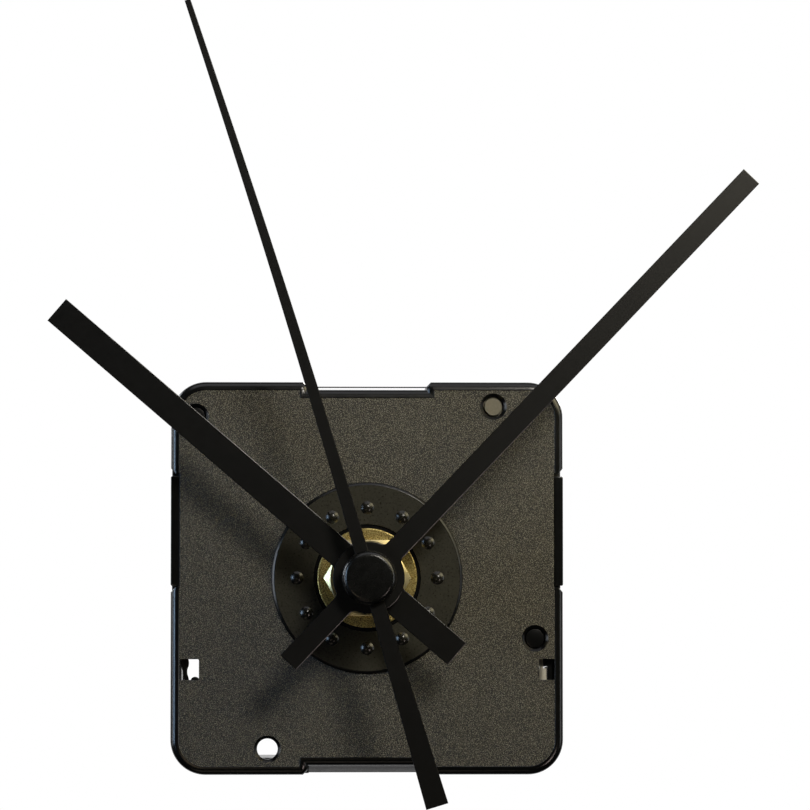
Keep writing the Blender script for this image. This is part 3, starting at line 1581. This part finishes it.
class ContactFace(IntEnum):
    """Faces of a battery contact, by the place of their finish in its list."""

    STRIP = 0
    LIP = 1


@dataclass
class Contacts:
    """The two battery contacts: bent nickel-plated strips, one with a coiled spring."""

    thickness: float = 0.3
    strip_edge: float = 0.09
    levels: tuple[float, float] = (2.4, 13.0)
    strip_level: float = 11.9
    bottom: float = -23.8
    top: float = -11.3
    negative_x: float = -26.3
    track_top: float = -9.6
    riser_x: float = 21.0
    negative_tab_x: float = 18.6
    negative_tab: tuple[float, float] = (4.7, 6.0)
    positive_x: float = 25.45
    positive_drop: float = 1.4
    strip_x: float = 26.0
    positive_tab_x: float = 23.8
    positive_tab: tuple[float, float] = (4.9, 6.2)
    cell_level: float = 9.1
    cell_z: float = -18.3
    base_radius: float = 3.9
    tip_radius: float = 2.6
    length: float = 4.4
    turns: float = 3.0
    wire: float = 0.35
    coil_points: int = 181
    wire_points: int = 14
    lip: tuple[float, float] = (24.5, 25.7)
    lip_bottom: float = -15.2
    lip_top: float = -12.9
    lip_level: float = 1.95
    lip_curve: float = 0.3
    lip_crest: float = 0.36
    lip_lean: float = 0.08
    lip_points: int = 13
    neck: tuple[int, int] = (5, 11)
    neck_overlap: float = 0.1

    def _coil(self, skin: Skin) -> None:
        """Adds the spring wire.

        Its middle line is a cone helix: the distance along X grows with the turn, and
        the radius shrinks from base to tip. The wire is a circle carried along it, on
        two directions at right angles to the line.

        Args:
            skin: the mesh that it goes to.
        """
        share = np.linspace(0, 1, self.coil_points)
        angle = np.pi / 2 + share * self.turns * 2 * np.pi
        radius = self.base_radius + (self.tip_radius - self.base_radius) * share
        outwards = np.stack([np.zeros_like(angle), np.cos(angle), np.sin(angle)], 1)
        middle = outwards * radius[:, None]
        middle[:, 0] = self.negative_x + self.thickness + share * self.length
        middle[:, 1] += self.cell_level
        middle[:, 2] += self.cell_z
        ahead = np.gradient(middle, axis=0)
        ahead /= np.linalg.norm(ahead, axis=1, keepdims=True)
        upwards = np.cross(ahead, outwards)
        upwards /= np.linalg.norm(upwards, axis=1, keepdims=True)
        across = np.cross(upwards, ahead)
        turn = turn_angles(self.wire_points)[:, None]
        ring = across[:, None] * np.cos(turn) + upwards[:, None] * np.sin(turn)
        spine = np.concatenate([middle[:1], middle, middle[-1:]])
        rings = np.concatenate([ring[:1], ring, ring[-1:]])
        sizes = np.concatenate([[0], np.full(len(share), self.wire), [0]])
        skin.sheet(spine[:, None] + rings * sizes[:, None, None])

    def _slab(self, skin: Skin, low: tuple[float, ...], high: tuple[float, ...]) -> None:
        """Adds a flat bar between two corners, with softened edges along Y."""
        outline = rectangle(low[0], high[0], low[2], high[2], self.strip_edge)
        skin.block([outline, outline], [low[1], high[1]], ContactFace.STRIP)

    def _lip(self, skin: Skin) -> None:
        """Adds the rolled front lip of the flat contact, which shows in the window.

        Its front is part of a parabola: the level rises with the square of the
        distance from a crest near its right edge, and it leans back upwards. The
        upper part is a narrow neck.

        Args:
            skin: the mesh that it goes to.
        """
        left, right = self.lip
        share = np.linspace(0, 1, self.lip_points)
        x = right + (left - right) * share
        level = self.lip_level + self.lip_curve * (share - self.lip_crest) ** 2
        neck, overlap = slice(*self.neck), self.neck_overlap
        parts = (
            (x, level, self.lip_bottom, self.lip_top),
            (x[neck], level[neck], self.lip_top - overlap, self.top - overlap),
        )
        for columns, depth, low, high in parts:
            loop_x = np.concatenate([columns, columns[::-1]])
            loop_y = np.concatenate([depth, depth[::-1] + self.thickness])
            rows = []
            for z in (low, high):
                lean = self.lip_lean * (z - self.lip_bottom)
                rows.append(np.stack([loop_x, loop_y + lean, np.full(len(loop_x), z)], 1))
            skin.sheet(np.stack(rows), ContactFace.LIP)
            for loop in rows:
                middle = np.broadcast_to(loop.mean(0), loop.shape)
                skin.sheet(np.stack([middle, loop]), ContactFace.LIP)

    def negative(self) -> bpy.types.Object:
        """Builds the spring contact.

        Returns:
            The finished piece.
        """
        skin, thin = Skin(), self.thickness
        left, right = self.negative_x, self.negative_x + thin
        front, back = self.levels
        strip, track, riser = self.strip_level, self.track_top, self.riser_x
        tab_bottom, tab_top = self.negative_tab
        for low, high in (
            ((left, front, self.bottom), (right, back, self.top)),
            ((left, strip, self.top - thin), (right, back, track)),
            ((left, strip, track - thin), (riser, back, track)),
            ((riser - thin, strip, track - thin), (riser, back, tab_top)),
            ((self.negative_tab_x, strip, tab_bottom), (riser, strip + thin, tab_top)),
        ):
            self._slab(skin, low, high)
        self._coil(skin)
        replaced = ["battery_contact_negative"]
        return skin.build("spring_contact_nickel", [NICKEL_STRIP], "case", "steel", replaced)

    def positive(self) -> bpy.types.Object:
        """Builds the flat contact.

        Returns:
            The finished piece.
        """
        skin, thin = Skin(), self.thickness
        left, right = self.positive_x, self.positive_x + thin
        far = self.strip_x + thin
        front, back = self.levels
        strip, wide_top = self.strip_level, self.top - self.positive_drop
        tab_bottom, tab_top = self.positive_tab
        for low, high in (
            ((left, front, self.bottom), (right, back, wide_top)),
            ((left, strip, wide_top - thin), (right, back, self.top)),
            ((left, strip, self.top - thin), (far, back, self.top)),
            ((self.strip_x, strip, self.top - thin), (far, back, tab_top)),
            ((self.positive_tab_x, strip, tab_bottom), (far, strip + thin, tab_top)),
        ):
            self._slab(skin, low, high)
        self._lip(skin)
        replaced = ["battery_contact_positive"]
        finishes = [NICKEL_STRIP, SATIN_NICKEL]
        return skin.build("flat_contact_nickel", finishes, "case", "steel", replaced)


# Solids that keep their shape

KEPT_FINISHES: dict[str, Finish] = {
    "middle_plate": BRACKET_PLASTIC,
    "gear_bridge": BRACKET_PLASTIC,
    "circuit_board": PAPER_BOARD,
    "quartz_crystal": BRIGHT_STEEL,
    "driver_chip": EPOXY_DROP,
    "coil_bobbin": BLACK_ACETAL,
    "coil_winding": COPPER_WIRE,
    "coil_core": BRIGHT_STEEL,
    "stator_plate": BRIGHT_STEEL,
    "rotor_magnet": SINTERED_MAGNET,
    "rotor_pinion": ACETAL,
    "intermediate_pinion": ACETAL,
    "intermediate_wheel": ACETAL,
    "seconds_arbor": BRIGHT_STEEL,
    "seconds_wheel": ACETAL,
    "second_hand_collet": TURNED_BRASS,
    "third_pinion": ACETAL,
    "third_wheel": ACETAL,
    "centre_wheel": ACETAL,
    "minute_arbor": TURNED_BRASS,
    "clutch_spring": NICKEL_STRIP,
    "motion_wheel": ACETAL,
    "hour_wheel": BLACK_ACETAL,
}


def dress_kept_solids(nodes: dict[str, bpy.types.Object]) -> None:
    """Gives each solid that stays in view its finish.

    Args:
        nodes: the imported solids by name.
    """
    for name, finish in KEPT_FINISHES.items():
        piece = nodes[name]
        if not piece.material_slots:
            piece.data.materials.append(finish.material())
        for slot in piece.material_slots:
            slot.material = finish.material()
        LOG.info("%s: %s", name, finish.name)


# Stage


@dataclass
class Lamp:
    """A soft rectangular light that faces the middle of the case.

    A card shows only in reflections, and adds no light to matt surfaces.
    """

    name: str
    place: tuple[float, float, float]
    size: tuple[float, float]
    power: float
    colour: str
    card: bool = False

    def build(self) -> None:
        """Adds the light, turned so that it faces the origin."""
        data = bpy.data.lights.new(self.name, "AREA")
        data.shape = "RECTANGLE"
        data.size, data.size_y = self.size
        data.energy = self.power
        data.color = linear(self.colour)[:3]
        lamp = add_object(self.name, data)
        lamp.location = self.place
        lamp.rotation_euler = (-Vector(self.place)).to_track_quat("-Z", "Y").to_euler()
        lamp.visible_camera = False
        lamp.visible_diffuse = not self.card


@dataclass
class Studio:
    """Camera, lights, white surroundings and the pale floor. Lengths are metres.

    The light of the surroundings moves from the first to the second value of
    back_light where a direction's Y passes through back_span. The share of white in
    the floor moves through floor_white over the distances of floor_fade.
    """

    camera_place: tuple[float, float, float] = (-0.012, -0.5755, -0.002)
    camera_target: tuple[float, float, float] = (0.0054, 0.0005, 0.02471)
    lens: float = 179.35
    clip: tuple[float, float] = (0.01, 20.0)
    back_span: tuple[float, float] = (0.5, 0.75)
    back_light: tuple[float, float] = (0.02, 0.9)
    floor_height: float = -0.095
    floor_radius: float = 1.15
    floor_fade: tuple[float, float] = (0.12, 0.805)
    floor_white: tuple[float, float] = (0.4, 1.0)
    floor_rings: int = 13
    floor_count: int = 72
    lamps: tuple[Lamp, ...] = (
        Lamp("key_upper_right", (0.095, -0.261, 0.155), (0.07, 0.07), 0.35, "#fff9ee"),
        Lamp("near_right", (0.1, -0.06, 0.09), (0.08, 0.08), 0.066, "#fff0c2"),
        Lamp("right_card", (0.4, -0.13, 0.21), (0.26, 0.26), 0.4, "#fff5d0", card=True),
        Lamp("right_edge", (0.4, -0.08, 0.0), (0.06, 0.2), 0.12, "#f4f6f8", card=True),
        Lamp("top_card", (0.02, -0.14, 0.42), (0.5, 0.3), 0.42, "#f6f5fa", card=True),
        Lamp("window_left", (-0.4, -0.235, 0.05), (0.08, 0.24), 0.72, "#bcdcff", card=True),
        Lamp("left_edge", (-0.4, -0.03, 0.02), (0.06, 0.24), 0.22, "#f2f8ff", card=True),
        Lamp("low_front", (-0.1, -0.4, -0.14), (0.1, 0.1), 0.04, "#ffe6c4", card=True),
        Lamp("low_right", (0.2, -0.3, -0.17), (0.06, 0.12), 0.15, "#ffe9e2"),
        Lamp("low_left", (-0.06, -0.2, -0.35), (0.2, 0.05), 0.025, "#ffeed8", card=True),
        Lamp("rear_right", (0.35, 0.5, 0.3), (0.3, 0.3), 6.0, "#fffaf2"),
        Lamp("rear_left", (-0.5, 0.3, 0.25), (0.12, 0.4), 2.4, "#eef6ff"),
    )

    def _camera(self) -> None:
        """Adds the camera and aims it."""
        data = bpy.data.cameras.new("camera")
        data.lens = self.lens
        data.clip_start, data.clip_end = self.clip
        camera = add_object("camera", data)
        camera.location = self.camera_place
        aim = Vector(self.camera_target) - Vector(self.camera_place)
        camera.rotation_euler = aim.to_track_quat("-Z", "Y").to_euler()
        bpy.context.scene.camera = camera

    def _surroundings(self) -> None:
        """Adds white surroundings behind the object, and a dark room in front of it."""
        world = bpy.data.worlds.new("white_room")
        tree = empty_tree(world)
        way = add_node(tree, "ShaderNodeTexCoord", {}, {}).outputs["Generated"]
        depth = add_node(tree, "ShaderNodeSeparateXYZ", {}, {0: way}).outputs["Y"]
        limits = {
            "Value": depth,
            "From Min": self.back_span[0],
            "From Max": self.back_span[1],
            "To Min": self.back_light[0],
            "To Max": self.back_light[1],
        }
        behind = add_node(tree, "ShaderNodeMapRange", {"clamp": True}, limits).outputs["Result"]
        white = linear("#ffffff")
        seen = add_node(tree, "ShaderNodeBackground", {}, {"Color": white, "Strength": 1.0})
        dim = add_node(tree, "ShaderNodeBackground", {}, {"Color": white, "Strength": behind})
        ray = add_node(tree, "ShaderNodeLightPath", {}, {}).outputs["Is Camera Ray"]
        both = {0: ray, 1: dim.outputs[0], 2: seen.outputs[0]}
        mix = add_node(tree, "ShaderNodeMixShader", {}, both)
        add_node(tree, "ShaderNodeOutputWorld", {}, {"Surface": mix.outputs[0]})
        bpy.context.scene.world = world
        bpy.context.scene.view_settings.view_transform = "Standard"

    def _floor_paint(self) -> bpy.types.Material:
        """Makes the floor's matt paint, which turns to the background's white further out.

        Returns:
            The material.
        """
        material = bpy.data.materials.new("pale_floor_paint")
        tree = empty_tree(material)
        place = add_node(tree, "ShaderNodeTexCoord", {}, {}).outputs["Object"]
        length = add_node(tree, "ShaderNodeVectorMath", {"operation": "LENGTH"}, {0: place})
        limits = {
            "Value": length.outputs["Value"],
            "From Min": self.floor_fade[0],
            "From Max": self.floor_fade[1],
            "To Min": self.floor_white[0],
            "To Max": self.floor_white[1],
        }
        share = add_node(tree, "ShaderNodeMapRange", {"interpolation_type": "SMOOTHSTEP"}, limits)
        paint = add_node(tree, "ShaderNodeBsdfDiffuse", {}, {"Color": linear("#ece9e3")})
        white = add_node(tree, "ShaderNodeEmission", {}, {"Color": linear("#ffffff"), "Strength": 1.0})
        both = {0: share.outputs["Result"], 1: paint.outputs[0], 2: white.outputs[0]}
        mix = add_node(tree, "ShaderNodeMixShader", {}, both)
        add_node(tree, "ShaderNodeOutputMaterial", {}, {"Surface": mix.outputs[0]})
        return material

    def _floor(self) -> None:
        """Adds a round pale floor: rings of points round the origin at the floor's height."""
        ring = np.linspace(0, self.floor_radius, self.floor_rings)[:, None]
        angle = turn_angles(self.floor_count)
        x, y = ring * np.cos(angle), ring * np.sin(angle)
        skin = Skin()
        skin.sheet(np.stack([x, y, np.full(x.shape, self.floor_height)], -1))
        mesh = bpy.data.meshes.new("pale_floor")
        mesh.from_pydata(np.concatenate(skin.points), [], skin.faces)
        mesh.materials.append(self._floor_paint())
        floor = add_object("pale_floor", mesh)
        floor.visible_glossy = floor.visible_diffuse = False

    def build(self) -> None:
        """Builds the whole stage."""
        self._camera()
        self._surroundings()
        self._floor()
        for lamp in self.lamps:
            lamp.build()


def corners(box: tuple) -> list[list[float]]:
    """The two corners of a box as plain lists."""
    return [[float(value) for value in corner] for corner in box]


def main() -> None:
    """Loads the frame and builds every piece."""
    logging.basicConfig(level=logging.INFO, format="%(name)s %(message)s")
    for leftover in list(bpy.data.objects):
        bpy.data.objects.remove(leftover)
    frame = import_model()
    shape = CaseShape()
    FrontCase(shape).build()
    RearCase(shape).build()
    fixing = DialFixing()
    fixing.bush()
    fixing.washer()
    fixing.nut()
    HandSet().build()
    SettingKnob(shape.knob_axis).build()
    contacts = Contacts()
    contacts.negative()
    contacts.positive()
    dress_kept_solids(frame["nodes"])
    Studio().build()


if __name__ == "__main__":
    main()
